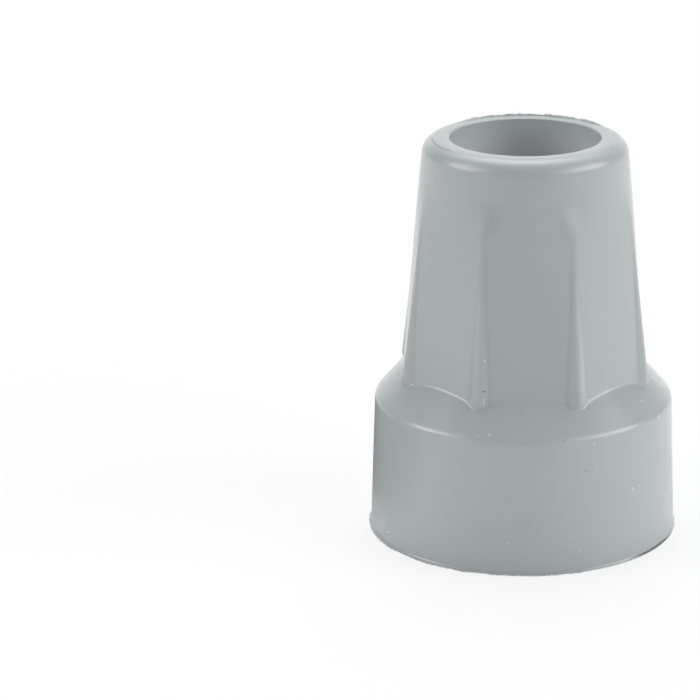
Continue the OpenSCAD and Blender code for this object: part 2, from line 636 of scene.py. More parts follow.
@dataclass(frozen=True)
class RubberFinish:
    """Moulded rubber: two close tones, a soft shine, fine grain, paled edges and small marks.

    The edges are paled for wear, and at the foot's lip also as a painted highlight. The neck's
    creases are darkened as painted shade, and the socket is lightened as painted light, most
    strongly deep down.

    Each range or pair of heights says between which values its effect comes in. Each added
    roughness says how much duller its effect makes the rubber.

    Attributes:
        socket_light_low_z: the height above which the socket's painted light begins, which keeps it
            out of the tread.
        socket_light_r: how far from the axis the socket's painted light reaches.
        rim_inner_r: how far from the axis the handled rim begins.
        socket_edge_r: how far from the axis the marks begin.
    """

    name: str
    tone: Colour = (0.408, 0.440, 0.442)
    pale_tone: Colour = (0.414, 0.444, 0.447)
    # Paled edges: wear, and at the foot's lip a painted highlight.
    wear_and_highlight_tone: Colour = (0.58, 0.60, 0.595)
    # Painted light: the pale tone that lightens the socket, most strongly deep down.
    socket_light_tone: Colour = (0.66, 0.685, 0.685)
    pale_mark_tone: Colour = (0.78, 0.80, 0.79)
    dark_mark_tone: Colour = (0.05, 0.055, 0.055)
    # Painted shade: the dark tone of the neck's creases.
    crease_shade_tone: Colour = (0.12, 0.13, 0.13)
    refraction: float = 1.54
    roughness: float = 0.21
    roughness_spread: float = 0.03
    rim_roughness: float = 0.045
    worn_roughness: float = 0.3
    wear_and_highlight_range: tuple[float, float] = (0.4, 1.2)
    mark_roughness: float = 0.3
    mottle_scale: float = 60.0
    scuff_scale: float = 900.0
    scuff_range: tuple[float, float] = (0.35, 0.7)
    grain_scale: float = 5200.0
    grain_depth: float = 0.003 * MM
    ripple_scale: float = 230.0
    ripple_depth: float = 0.006 * MM
    mark_depth: float = 0.03 * MM
    # How strongly the creases are darkened as painted shade.
    crease_shade: float = 0.11
    pale_tip: float = 0.0
    tip_range: tuple[float, float] = (0.84, 0.98)
    rim_heights: tuple[float, float] = (46.0 * MM, 50.0 * MM)
    socket_light_heights: tuple[float, float] = (44.5 * MM, 50.9 * MM)
    socket_light_low_z: float = 14.0 * MM
    socket_light_r: float = 9.93 * MM
    socket_light_scale: float = 250.0
    rim_inner_r: float = 9.7 * MM
    socket_edge_r: float = 10.6 * MM
    tear_scale: float = 3500.0
    marks: tuple[Mark, ...] = ()

    def build(self) -> bpy.types.Material:
        """Makes the material.

        Returns:
            A material on Object coordinates and the attributes of edges paled for wear and painted
            highlight, of creases and of tears.
        """
        maker = MaterialTree(self.name)
        place = Place.of(maker, maker.point)
        mottle = use_group(maker, GroupName.MOTTLE, place.point, self.mottle_scale)
        wear_and_highlight = maker.attribute(WEAR_AND_HIGHLIGHT_EDGE)
        tone = self._tone(maker, place, mottle, wear_and_highlight)
        rough = self.roughness + (mottle - 0.5) * self.roughness_spread
        rough = rough + self._rim(maker, place) + wear_and_highlight * self.worn_roughness
        grain = use_group(maker, GroupName.GRAIN, place.point, self.grain_scale)
        ripple = maker.noise(place.point, self.ripple_scale)
        relief = maker.bump(ripple, self.ripple_depth, maker.bump(grain, self.grain_depth))
        if self.marks:
            shade = self._shade(maker, place)
            pale = maker.math("MAXIMUM", shade, 0.0)
            dark = maker.math("MAXIMUM", shade * -1.0, 0.0)
            tone = maker.mix(pale, tone, self.pale_mark_tone)
            tone = maker.mix(dark, tone, self.dark_mark_tone)
            relief = maker.bump(pale - dark, self.mark_depth, relief)
            rough = rough + (pale + dark) * self.mark_roughness
        shader = maker.add(
            "ShaderNodeBsdfPrincipled",
            {
                "Base Color": tone,
                "Roughness": rough,
                "Normal": relief,
                "IOR": self.refraction,
            },
        )
        return maker.close(shader.outputs["BSDF"])

    def _tone(
        self, maker: MaterialTree, place: Place, mottle: Value, wear_and_highlight: Value
    ) -> bpy.types.NodeSocket:
        """Works out the rubber's tone with its paled edges, painted crease shade and painted socket
        light, apart from its marks.

        Args:
            maker: the helper of the material's tree.
            place: the place on the surface.
            mottle: the broad clouds, from 0 to 1.
            wear_and_highlight: how much the place is paled for wear and painted highlight, from 0
                to 1.

        Returns:
            The tone.
        """
        scuffs = maker.ramp(maker.noise(place.point, self.scuff_scale, 4.0), *self.scuff_range)
        tone = maker.mix(mottle, self.tone, self.pale_tone)
        # Edges are paled for wear, and at the foot's lip as a painted highlight.
        tone = maker.mix(maker.ramp(wear_and_highlight, *self.wear_and_highlight_range) * scuffs, tone, self.wear_and_highlight_tone)
        # Painted shade: the creases of the neck are darkened.
        tone = maker.mix(maker.attribute(CREASE) * self.crease_shade, tone, self.crease_shade_tone)
        # Painted light: the socket is paled, most strongly deep down.
        tone = maker.mix(self._socket_light(maker, place), tone, self.socket_light_tone)
        if self.pale_tip:
            tip = maker.ramp(maker.attribute(TORN), *self.tip_range)
            frayed = tip * maker.ramp(scuffs, 0.0, 0.6)
            tone = maker.mix(frayed * self.pale_tip, tone, self.pale_mark_tone)
        return tone

    def _rim(self, maker: MaterialTree, place: Place) -> Value:
        """The duller shine of the rim, where the tip is handled."""
        outside = maker.math("GREATER_THAN", place.radius, self.rim_inner_r)
        return maker.ramp(place.z, *self.rim_heights) * outside * self.rim_roughness

    def _shade(self, maker: MaterialTree, place: Place) -> Value:
        """Adds up all the marks.

        Args:
            maker: the helper of the material's tree.
            place: the place on the surface.

        Returns:
            Their shade, from -1 for the darkest to 1 for the palest.
        """
        skin = maker.add(
            "ShaderNodeCombineXYZ", {"X": place.turn, "Y": place.z, "Z": place.radius}
        )
        tears = maker.noise(place.point, self.tear_scale, 3.0) - 0.5
        outside = maker.math("GREATER_THAN", place.radius, self.socket_edge_r)
        return outside * sum(mark.value(maker, skin.outputs[0], tears) for mark in self.marks)

    def _socket_light(self, maker: MaterialTree, place: Place) -> Value:
        """Works out the painted light in the socket, which grows stronger below the mouth.

        Args:
            maker: the helper of the material's tree.
            place: the place on the surface.

        Returns:
            How much painted light there is in the socket, from 0 to 1, and 0 outside it.
        """
        inside = maker.math("LESS_THAN", place.radius, self.socket_light_r)
        in_socket = maker.math("GREATER_THAN", place.z, self.socket_light_low_z)
        deep = 1.0 - maker.ramp(place.z, *self.socket_light_heights)
        return inside * in_socket * deep * (0.9 + 0.1 * maker.noise(place.point, self.socket_light_scale))


@dataclass(frozen=True)
class DustFinish:
    """Dust and crumbs of lint: dull and slightly uneven."""

    name: str = "dust"
    tone: Colour = (0.62, 0.63, 0.62)
    pale_tone: Colour = (0.8, 0.81, 0.8)
    roughness: float = 0.8
    mottle_scale: float = 2400.0
    fibre_scale: float = 9000.0
    fibre_depth: float = 0.01 * MM

    def build(self) -> bpy.types.Material:
        """Makes the material.

        Returns:
            A material on Object coordinates.
        """
        maker = MaterialTree(self.name)
        amount = maker.ramp(maker.noise(maker.point, self.mottle_scale), 0.4, 0.6)
        tone = maker.mix(amount, self.tone, self.pale_tone)
        fibres = maker.bump(maker.noise(maker.point, self.fibre_scale), self.fibre_depth)
        shader = maker.add(
            "ShaderNodeBsdfPrincipled",
            {"Base Color": tone, "Roughness": self.roughness, "Normal": fibres},
        )
        return maker.close(shader.outputs["BSDF"])


@dataclass(frozen=True)
class FloorPatch:
    """An oval part of the floor that the rubber mirrors darker than the rest.

    Attributes:
        tone: its tone.
        middle: where its middle lies.
        reach: how far it reaches from its middle along X and along Y.
        edge: between which shares of its reach it fades.
    """

    tone: Colour
    middle: tuple[float, float]
    reach: tuple[float, float]
    edge: tuple[float, float] = (0.8, 1.2)

    def share(self, maker: MaterialTree) -> Value:
        """Works out where the patch lies.

        Args:
            maker: the helper of the floor's material.

        Returns:
            How much of it there is at a point, from 0 to 1.
        """
        apart = maker.add(
            "ShaderNodeVectorMath",
            {0: maker.point, 1: (*self.middle, 0.0)},
            operation="SUBTRACT",
        )
        shares = maker.add(
            "ShaderNodeVectorMath",
            {0: apart.outputs[0], 1: (*self.reach, 1.0)},
            operation="DIVIDE",
        )
        away = maker.add("ShaderNodeVectorMath", {0: shares.outputs[0]}, operation="LENGTH")
        return 1.0 - maker.ramp(maker.value(away.outputs["Value"]), *self.edge)


@dataclass(frozen=True)
class FloorFinish:
    """A plain pale floor that the camera sees nearly white, with the shadow kept.

    Low on the left and in front the rubber mirrors things that are out of the picture. Here they
    are darker patches of the floor, for all rays but the camera's.

    Attributes:
        lift: how far the floor is lifted towards white for the camera.
    """

    name: str = "studio_floor"
    tone: Colour = (0.86, 0.86, 0.86)
    roughness: float = 0.9
    patches: tuple[FloorPatch, ...] = (
        FloorPatch((0.1, 0.1, 0.1), (-75.0 * MM, 28.0 * MM), (60.0 * MM, 46.0 * MM)),
        FloorPatch((0.35, 0.35, 0.35), (0.0, -220.0 * MM), (80.0 * MM, 130.0 * MM)),
    )
    lift: float = 0.78

    def build(self) -> bpy.types.Material:
        """Makes the material.

        Returns:
            A dull white that is lifted towards white for camera rays alone.
        """
        maker = MaterialTree(self.name)
        seen = maker.value(maker.add("ShaderNodeLightPath").outputs["Is Camera Ray"])
        tone = self.tone
        for patch in self.patches:
            tone = maker.mix(patch.share(maker) * (1.0 - seen), tone, patch.tone)
        dull = maker.add(
            "ShaderNodeBsdfPrincipled", {"Base Color": tone, "Roughness": self.roughness}
        )
        white = maker.add("ShaderNodeEmission", {"Color": (1.0, 1.0, 1.0, 1.0), "Strength": 1.0})
        mix = maker.add(
            "ShaderNodeMixShader",
            {0: seen * self.lift, 1: dull.outputs["BSDF"], 2: white.outputs["Emission"]},
        )
        return maker.close(mix.outputs["Shader"])


# ---------------------------------------------------------------- outlines


@dataclass(frozen=True)
class Corner:
    """A corner of a turned outline.

    Attributes:
        r: distance from the axis.
        z: height.
        round_r: radius of the arc that rounds it, or 0 for a sharp corner.
        arc_steps: how many steps the arc is cut into.
        run_steps: how many steps the straight run to the next corner is cut into.
        wear_and_highlight: how much the middle of the corner is paled for wear and painted
            highlight, from 0 to 1.
    """

    r: float
    z: float
    round_r: float = 0.0
    arc_steps: int = 4
    run_steps: int = 1
    wear_and_highlight: float = 0.0


@dataclass(frozen=True)
class Station:
    """A point of a finished outline.

    Attributes:
        r: distance from the axis.
        z: height.
        wear_and_highlight: how much it is paled for wear and painted highlight, from 0 to 1.
    """

    r: float
    z: float
    wear_and_highlight: float


def arc_stations(before: Corner, corner: Corner, after: Corner) -> list[Station]:
    """Rounds one corner.

    Args:
        before: the corner before it.
        corner: the corner to round.
        after: the corner after it.

    Returns:
        The stations of its arc, or the corner itself where it is sharp.
    """
    if corner.round_r <= 0:
        return [Station(corner.r, corner.z, corner.wear_and_highlight)]
    point = Vector((corner.r, corner.z))
    back = (Vector((before.r, before.z)) - point).normalized()
    ahead = (Vector((after.r, after.z)) - point).normalized()
    half = back.angle(ahead) / 2
    centre = point + (back + ahead).normalized() * corner.round_r / math.sin(half)
    start = point + back * corner.round_r / math.tan(half) - centre
    end = point + ahead * corner.round_r / math.tan(half) - centre
    turn = math.atan2(start.cross(end), start.dot(end))
    stations = []
    for step in range(corner.arc_steps + 1):
        share = step / corner.arc_steps
        spoke = Matrix.Rotation(turn * share, 2) @ start
        wear_and_highlight = corner.wear_and_highlight * math.sin(math.pi * share)
        stations.append(Station(centre.x + spoke.x, centre.y + spoke.y, wear_and_highlight))
    return stations


def rounded_outline(corners: Sequence[Corner]) -> list[Station]:
    """Turns corners into a finished outline.

    Args:
        corners: the corners in order. The first and the last one stay sharp.

    Returns:
        The stations of all arcs, with the straight runs between them cut into steps.
    """
    last = len(corners) - 1
    stations: list[Station] = []
    steps = 1
    for i, corner in enumerate(corners):
        arc = arc_stations(corners[max(i - 1, 0)], corner, corners[min(i + 1, last)])
        if stations:
            a, b = stations[-1], arc[0]
            for step in range(1, steps):
                t = step / steps
                stations.append(Station(a.r + (b.r - a.r) * t, a.z + (b.z - a.z) * t, 0.0))
        stations.extend(arc)
        steps = corner.run_steps
    return stations


# ---------------------------------------------------------------- the moulded body


def closed_mesh(shape: bmesh.types.BMesh, name: str) -> bpy.types.Mesh:
    """Turns a shape into a smooth mesh whose faces look outwards.

    Args:
        shape: the closed shape, which is used up.
        name: the mesh's name.

    Returns:
        The mesh.
    """
    bmesh.ops.recalc_face_normals(shape, faces=shape.faces)
    mesh = bpy.data.meshes.new(name)
    shape.to_mesh(mesh)
    shape.free()
    mesh.shade_smooth()
    return mesh


@dataclass
class NeckSizes:
    """Sizes of the bowed panels and the ribs of the neck.

    A size named foot holds at foot_z and one named top at top_z, and it changes evenly between.

    Attributes:
        flank_angle: angle between a rib's middle plane and the line square to its flank.
        rib_foot_z: height at which the rounded lower end of a rib begins.
        fade_start_z: height from which the neck runs out into the collar.
        fade_end_z: height at which it has done so.
        crease_reach: how far from a crease the painted shade reaches, as a difference of two radii.
        core_gap: how far the turned core lies under the panels.
        wave_fade: over what height the moulding's waves fade at both ends of the neck.
    """

    panels: int = 8
    foot_z: float = 21.5 * MM
    top_z: float = 45.0 * MM
    panel_foot_r: float = 15.3 * MM
    panel_top_r: float = 13.36 * MM
    bow_foot_r: float = 60.0 * MM
    bow_top_r: float = 24.0 * MM
    crest_foot_r: float = 16.6 * MM
    crest_top_r: float = 13.72 * MM
    crest_round_r: float = 0.9 * MM
    flank_angle: float = math.radians(37.0)
    rib_foot_z: float = 21.0 * MM
    fade_start_z: float = 42.0 * MM
    fade_end_z: float = 45.4 * MM
    crease_soft: float = 0.1 * MM
    crest_soft: float = 0.1 * MM
    foot_soft: float = 0.2 * MM
    crease_reach: float = 0.16 * MM
    core_gap: float = 0.6 * MM
    wave_scale: float = 260.0
    wave_fade: float = 3.0 * MM

    def panel_r(self, z: float) -> float:
        """Distance of a panel from the axis at a height."""
        fall = (self.panel_foot_r - self.panel_top_r) / (self.top_z - self.foot_z)
        return self.panel_foot_r - fall * (z - self.foot_z)


@dataclass(frozen=True)
class NeckLimits:
    """Where the neck ends, and the collar that its panels run out into.

    Attributes:
        inside_r: only points further from the axis than this are moved.
        low_z: only points higher than this are moved.
        rim_z: height of the collar's top.
        rim_r: radius of the collar's top.
        collar_slope: how much the collar widens for each unit of height downwards.
    """

    inside_r: float
    low_z: float
    rim_z: float
    rim_r: float
    collar_slope: float


class NeckTree(GeometryTree):
    """The node tree that raises the panels and the ribs from the turned core of the neck."""

    def __init__(self, sizes: NeckSizes, material: bpy.types.Material) -> None:
        """Makes the tree's inputs and what both the panels and the ribs are worked out from.

        Args:
            sizes: the sizes of the neck.
            material: the finish of the body.
        """
        super().__init__("ribbed_neck", material)
        self.sizes = sizes
        self.place = Place.of(self, self.add("GeometryNodeInputPosition").outputs[0])
        self.z = self.place.z
        foot_z = self.size("Neck foot height", sizes.foot_z)
        top_z = self.size("Neck top height", sizes.top_z)
        self.along = (self.z - foot_z) / (top_z - foot_z)
        panels = self.size("Panel count", float(sizes.panels))
        half = math.pi / panels
        aside = self.math("WRAP", self.place.turn, half, half * -1.0)
        self.from_panel = self.math("ABSOLUTE", aside)
        self.from_rib = half - self.from_panel
        self.crest_r = self._between(
            "Rib crest", "radius", sizes.crest_foot_r, sizes.crest_top_r
        )

    def _between(self, title: str, what: str, foot: float, top: float) -> Value:
        """A size that changes evenly from the foot of the neck to its top.

        Args:
            title: what has the size.
            what: which size it is.
            foot: its value at the foot.
            top: its value at the top.

        Returns:
            The size at the height of the point.
        """
        low = self.size(f"{title} foot {what}", foot)
        high = self.size(f"{title} top {what}", top)
        return low + (high - low) * self.along

    def panels_r(self) -> Value:
        """Makes the bowed panels, each an arc across its width.

        Returns:
            Their distance from the axis.
        """
        sizes = self.sizes
        middle = self._between("Panel", "radius", sizes.panel_foot_r, sizes.panel_top_r)
        bow = self._between("Panel", "bow radius", sizes.bow_foot_r, sizes.bow_top_r)
        centre = middle - bow
        aside = centre * self.math("SINE", self.from_panel)
        return centre * self.math("COSINE", self.from_panel) + self.math(
            "SQRT", bow * bow - aside * aside
        )

    def ribs_r(self) -> Value:
        """Makes the ribs, each with a rounded crest, two flanks and a rounded foot.

        Returns:
            Their distance from the axis.
        """
        round_r = self.size("Rib crest rounding", self.sizes.crest_round_r)
        flank = self.size("Rib flank angle", self.sizes.flank_angle)
        foot_z = self.size("Rib foot height", self.sizes.rib_foot_z)
        below = self.math("MAXIMUM", foot_z - self.z, 0.0)
        below_turn = below / self.crest_r
        away = self.math("SQRT", self.from_rib * self.from_rib + below_turn * below_turn)
        centre_r = self.crest_r - round_r
        aside = centre_r * self.math("SINE", away)
        reach = self.math("MAXIMUM", round_r * round_r - aside * aside, 0.0)
        crown_r = centre_r * self.math("COSINE", away) + self.math("SQRT", reach)
        flank_cos = self.math("COSINE", flank)
        flank_r = (centre_r * flank_cos + round_r) / self.math("COSINE", flank - away)
        crown_end = self.math(
            "ARCTAN2", round_r * self.math("SINE", flank), centre_r + round_r * flank_cos
        )
        on_flank = self.math("GREATER_THAN", away, crown_end)
        rib_r = crown_r + (flank_r - crown_r) * on_flank
        drop = self.math("MAXIMUM", round_r * round_r - below * below, 0.0)
        return self.math("MINIMUM", rib_r, centre_r + self.math("SQRT", drop))

    def build(self, limits: NeckLimits, unevenness: float) -> "NeckTree":
        """Makes the nodes that move the points of the neck.

        Args:
            limits: which points are moved, and the collar that the panels run out into.
            unevenness: how far the moulding's waves reach.

        Returns:
            The finished tree.
        """
        sizes = self.sizes
        crease_soft = self.size("Crease softness", sizes.crease_soft)
        crest_soft = self.size("Crest softness", sizes.crest_soft)
        foot_soft = self.size("Shoulder softness", sizes.foot_soft)
        start = self.size("Rib fade start height", sizes.fade_start_z)
        end = self.size("Rib fade end height", sizes.fade_end_z)
        wave = self.size("Unevenness", unevenness)
        wave_fade = self.size("Unevenness fade", sizes.wave_fade)
        low_z = self.size("Lowest height", limits.low_z)
        rim_z = self.size("Collar top height", limits.rim_z)
        rim_r = self.size("Collar top radius", limits.rim_r)
        slope = self.size("Collar slope", limits.collar_slope)

        ribs_r, panels_r = self.ribs_r(), self.panels_r()
        neck_r = self.larger_softly(ribs_r, panels_r, crease_soft)
        neck_r = self.smaller_softly(neck_r, self.crest_r, crest_soft * self.along)
        low_down = self.math("MAXIMUM", 1.0 - self.along, 0.0)
        raised_r = self.larger_softly(self.place.radius, neck_r, foot_soft * low_down)
        collar_r = rim_r + slope * (rim_z - self.z)
        fade = self.smaller_softly((end - self.z) / (end - start), 1.0, 0.25)
        fade = self.math("MAXIMUM", fade, 0.0)
        new_r = collar_r + (raised_r - collar_r) * fade
        calm = self.ramp(self.z, low_z, low_z + wave_fade)
        calm = calm * self.ramp(end - self.z, 0.0, wave_fade)
        wave_scale = self.size("Unevenness scale", sizes.wave_scale)
        new_r = new_r + (self.noise(self.place.point, wave_scale) - 0.5) * wave * calm
        inside_r = self.size("Inside limit radius", limits.inside_r)
        outside = self.math("GREATER_THAN", self.place.radius, inside_r)
        above = self.math("GREATER_THAN", self.z, low_z)
        below = self.math("LESS_THAN", self.z, end)
        chosen = outside * above * below
        settled = self.add(
            "GeometryNodeSetPosition",
            {
                "Geometry": self.geometry,
                "Selection": chosen,
                "Position": self.place.moved(self, new_r, self.z),
            },
        )
        # Painted shade: a mask along the creases, where the ribs meet the panels, for the rubber to
        # darken.
        apart = self.math("ABSOLUTE", ribs_r - panels_r)
        crease_reach = self.size("Crease reach", sizes.crease_reach)
        crease = (1.0 - self.ramp(apart, 0.0, crease_reach)) * fade
        noted = self.add(
            "GeometryNodeStoreNamedAttribute",
            {"Geometry": settled.outputs[0], "Name": CREASE, "Value": crease * chosen},
            data_type="FLOAT",
            domain="POINT",
        )
        self.close(noted.outputs[0])
        return self


@dataclass
class MouldedBody:
    """The whole rubber moulding: socket, rim, collar, neck, shoulder, base and tread.

    Attributes:
        collar_top_r: radius of the collar at the top, before its rim is rounded.
        collar_slope: how much the collar widens for each unit of height downwards.
        core_top_z: height above which the core of the neck widens into the collar.
        core_upright_h: height of the upright lowest part of the core.
        shoulder_slope: how much the shoulder rises for each unit inwards.
        base_foot_r: radius of the base at its foot, without the lip.
        groove_edges: outer and inner radius of each groove of the tread.
        groove_draft: angle of their walls from the upright.
        slice_crowding: how much the slices crowd at the ribs.
        wall_margin: how far outside the socket the points begin that the neck's tree moves.
        unevenness: how far the moulding's waves reach.
    """

    height: float
    socket_r: float
    socket_depth: float
    neck: NeckSizes = field(default_factory=NeckSizes)
    socket_floor_round: float = 0.8 * MM
    mouth_round: float = 0.12 * MM
    collar_top_r: float = 12.75 * MM
    collar_slope: float = 0.0985
    rim_round: float = 2.0 * MM
    collar_end_z: float = 45.4 * MM
    core_top_z: float = 42.5 * MM
    core_upright_h: float = 2.5 * MM
    shoulder_slope: float = 1.15
    base_top_r: float = 18.95 * MM
    base_top_z: float = 17.3 * MM
    base_edge_round: float = 1.3 * MM
    base_foot_r: float = 19.55 * MM
    lip_r: float = 19.68 * MM
    lip_h: float = 0.4 * MM
    groove_edges: tuple[tuple[float, float], ...] = (
        (15.2 * MM, 12.1 * MM),
        (8.6 * MM, 5.8 * MM),
    )
    groove_depth: float = 3.2 * MM
    groove_draft: float = math.radians(12.0)
    groove_floor_round: float = 0.6 * MM
    tread_round: float = 0.12 * MM
    slices_per_panel: int = 48
    slice_crowding: float = 0.5
    wall_margin: float = 2.5 * MM
    unevenness: float = 0.02 * MM

    def outline(self) -> list[Station]:
        """The outline of the moulding, from the socket's floor over the rim to the tread's centre.

        Returns:
            Its stations, with the neck drawn as a plain core under its panels.
        """
        neck = self.neck
        floor_z = self.height - self.socket_depth
        collar_end_r = self.collar_top_r + self.collar_slope * (self.height - self.collar_end_z)
        core_foot_r = neck.panel_foot_r - neck.core_gap
        core_foot_z = self.base_top_z + self.shoulder_slope * (self.base_top_r - core_foot_r)
        wall_fall = (self.base_foot_r - self.base_top_r) / self.base_top_z
        corners = [
            Corner(0.0, floor_z, run_steps=2),
            Corner(self.socket_r, floor_z, self.socket_floor_round, 6, 10),
            Corner(self.socket_r, self.height, self.mouth_round, 3, 2, wear_and_highlight=0.8),
            Corner(self.collar_top_r, self.height, self.rim_round, 14, 6),
            Corner(collar_end_r, self.collar_end_z, 0.0, run_steps=12),
            Corner(neck.panel_r(self.core_top_z) - neck.core_gap, self.core_top_z, run_steps=24),
            Corner(core_foot_r, core_foot_z + self.core_upright_h, run_steps=18),
            Corner(core_foot_r, core_foot_z, run_steps=26),
            Corner(self.base_top_r, self.base_top_z, self.base_edge_round, 10, 7),
            Corner(self.base_foot_r - wall_fall * self.lip_h, self.lip_h, 0.15 * MM, 3),
            # The lip's paled edge is wear and also a painted highlight.
            Corner(self.lip_r, self.lip_h / 2, 0.08 * MM, 3, wear_and_highlight=0.6),
            Corner(self.lip_r, 0.0, 0.08 * MM, 3, wear_and_highlight=1.0),
        ]
        narrowing = self.groove_depth * math.tan(self.groove_draft)
        for outer, inner in self.groove_edges:
            corners += [
                Corner(outer, 0.0, self.tread_round, 3, 2, wear_and_highlight=0.7),
                Corner(outer - narrowing, self.groove_depth, self.groove_floor_round, 6),
                Corner(inner + narrowing, self.groove_depth, self.groove_floor_round, 6, 2),
                Corner(inner, 0.0, self.tread_round, 3, wear_and_highlight=0.7),
            ]
        corners.append(Corner(0.0, 0.0))
        return rounded_outline(corners)

    def turns(self) -> list[float]:
        """The angles of the slices, from -Y towards +X, crowded at the ribs.

        Returns:
            One angle for each slice of the whole turn.
        """
        count = self.neck.panels * self.slices_per_panel
        pitch = math.tau / self.neck.panels
        angles = []
        for i in range(count):
            t = i / self.slices_per_panel
            crowded = t + self.slice_crowding * math.sin(math.tau * t) / math.tau
            angles.append(crowded * pitch)
        return angles

    def turned_mesh(self) -> bpy.types.Mesh:
        """Turns the outline about the axis.

        Returns:
            A closed mesh of quads with a fan at each pole and a wear_and_highlight_edge attribute,
            which pales edges for wear and as painted highlight.
        """
        stations = self.outline()
        shape = bmesh.new()
        wear_and_highlight = shape.verts.layers.float.new(WEAR_AND_HIGHLIGHT_EDGE)
        turns = self.turns()
        first = shape.verts.new((0.0, 0.0, stations[0].z))
        last = shape.verts.new((0.0, 0.0, stations[-1].z))
        rings = []
        for station in stations[1:-1]:
            ring = []
            for turn in turns:
                x, y = station.r * math.sin(turn), -station.r * math.cos(turn)
                vertex = shape.verts.new((x, y, station.z))
                vertex[wear_and_highlight] = station.wear_and_highlight
                ring.append(vertex)
            rings.append(ring)
        for i in range(len(turns)):
            j = (i + 1) % len(turns)
            shape.faces.new((first, rings[0][j], rings[0][i]))
            shape.faces.new((last, rings[-1][i], rings[-1][j]))
            for ring, below in zip(rings, rings[1:]):
                shape.faces.new((ring[i], ring[j], below[j], below[i]))
        return closed_mesh(shape, "turned_outline")

    def build(self, finish: RubberFinish) -> bpy.types.Object:
        """Makes the body.

        Args:
            finish: the rubber that it is moulded in.

        Returns:
            The body as one closed piece.
        """
        limits = NeckLimits(
            inside_r=self.socket_r + self.wall_margin,
            low_z=self.base_top_z,
            rim_z=self.height,
            rim_r=self.collar_top_r,
            collar_slope=self.collar_slope,
        )
        tree = NeckTree(self.neck, finish.build()).build(limits, self.unevenness)
        piece = tree.run(self.turned_mesh(), "moulded_body")
        piece.data.shade_smooth()
        return piece


# ---------------------------------------------------------------- what the mould and the desk left


@dataclass
class TornFlash:
    """A thin skin that the mould left along a round edge, torn off unevenly.

    Attributes:
        name: the piece's name.
        root: distance from the axis and height where the skin leaves the body.
        tip: distance from the axis and height that its longest part reaches.
        thickness: thickness at its root. It is half of that at its tip.
        lobe_turn: azimuth in degrees where it is longest.
        lobe_reach: how many degrees to both sides of that it stays long.
        lobe_fade: over how many more degrees it shortens.
        least: the share of its length that is left elsewhere.
        tear: how much of its length the tears take.
        tear_scale: how close together the tears are.
        fine_ratio: how many times closer together the fine tears are.
        fine_share: how much of the tearing they do.
        slices: how many slices the ring is cut into.
    """

    name: str
    root: tuple[float, float]
    tip: tuple[float, float]
    thickness: float
    lobe_turn: float
    lobe_reach: float
    lobe_fade: float
    least: float
    tear: float
    tear_scale: float
    fine_ratio: float = 6.0
    fine_share: float = 0.4
    slices: int = 1800

    def ring_mesh(self) -> bpy.types.Mesh:
        """Makes the untorn skin as a closed ring.

        Returns:
            A mesh whose torn attribute rises from 0 at the root to 1 at the tip.
        """
        root, tip = Vector(self.root), Vector(self.tip)
        ahead = (tip - root).normalized()
        aside = Vector((-ahead.y, ahead.x)) * self.thickness / 2
        section = []
        for side, shares in ((-1.0, (0.0, 0.5, 1.0)), (1.0, (1.0, 0.5, 0.0))):
            for share in shares:
                section.append((root.lerp(tip, share) + aside * side * (1.0 - share / 2), share))
        shape = bmesh.new()
        torn = shape.verts.layers.float.new(TORN)
        rings = []
        for i in range(self.slices):
            turn = math.tau * i / self.slices
            ring = []
            for point, share in section:
                place = (point.x * math.sin(turn), -point.x * math.cos(turn), point.y)
                vertex = shape.verts.new(place)
                vertex[torn] = share
                ring.append(vertex)
            rings.append(ring)
        count = len(section)
        for ring, after in zip(rings, rings[1:] + rings[:1]):
            for i in range(count):
                j = (i + 1) % count
                shape.faces.new((ring[i], ring[j], after[j], after[i]))
        return closed_mesh(shape, "untorn_ring")

    def build(self, material: bpy.types.Material) -> bpy.types.Object:
        """Tears the skin with a node tree.

        Args:
            material: its finish.

        Returns:
            The skin as one closed piece.
        """
        tree = GeometryTree(self.name, material)
        place = Place.of(tree, tree.add("GeometryNodeInputPosition").outputs[0])
        middle = tree.size("Longest turn", math.radians(self.lobe_turn))
        reach = tree.size("Long reach", math.radians(self.lobe_reach))
        fade = tree.size("Shortening reach", math.radians(self.lobe_fade))
        least = tree.size("Least share", self.least)
        tear = tree.size("Tear depth", self.tear)
        scale = tree.size("Tear scale", self.tear_scale)
        root_r = tree.size("Root radius", self.root[0])
        root_z = tree.size("Root height", self.root[1])
        away = tree.math("ABSOLUTE", tree.math("WRAP", place.turn - middle, math.pi, -math.pi))
        long_share = 1.0 - tree.ramp(away, reach, reach + fade)
        ring = tree.add(
            "ShaderNodeCombineXYZ", {"X": place.x / place.radius, "Y": place.y / place.radius}
        )
        coarse = tree.noise(ring.outputs[0], scale)
        fine = tree.noise(ring.outputs[0], scale * self.fine_ratio, 3.0)
        both = coarse * (1.0 - self.fine_share) + fine * self.fine_share
        tears = tree.ramp(both, 0.35, 0.65)
        kept = (least + (1.0 - least) * long_share) * (1.0 - tears * tear)
        attribute = tree.add("GeometryNodeInputNamedAttribute", {"Name": TORN}, data_type="FLOAT")
        torn = tree.value(attribute.outputs["Attribute"])
        share = 1.0 - tree.math("GREATER_THAN", torn, 0.1) * (1.0 - kept)
        new_r = root_r + (place.radius - root_r) * share
        new_z = root_z + (place.z - root_z) * share
        settled = tree.add(
            "GeometryNodeSetPosition",
            {"Geometry": tree.geometry, "Position": place.moved(tree, new_r, new_z)},
        )
        tree.close(settled.outputs[0])
        return tree.run(self.ring_mesh(), self.name)


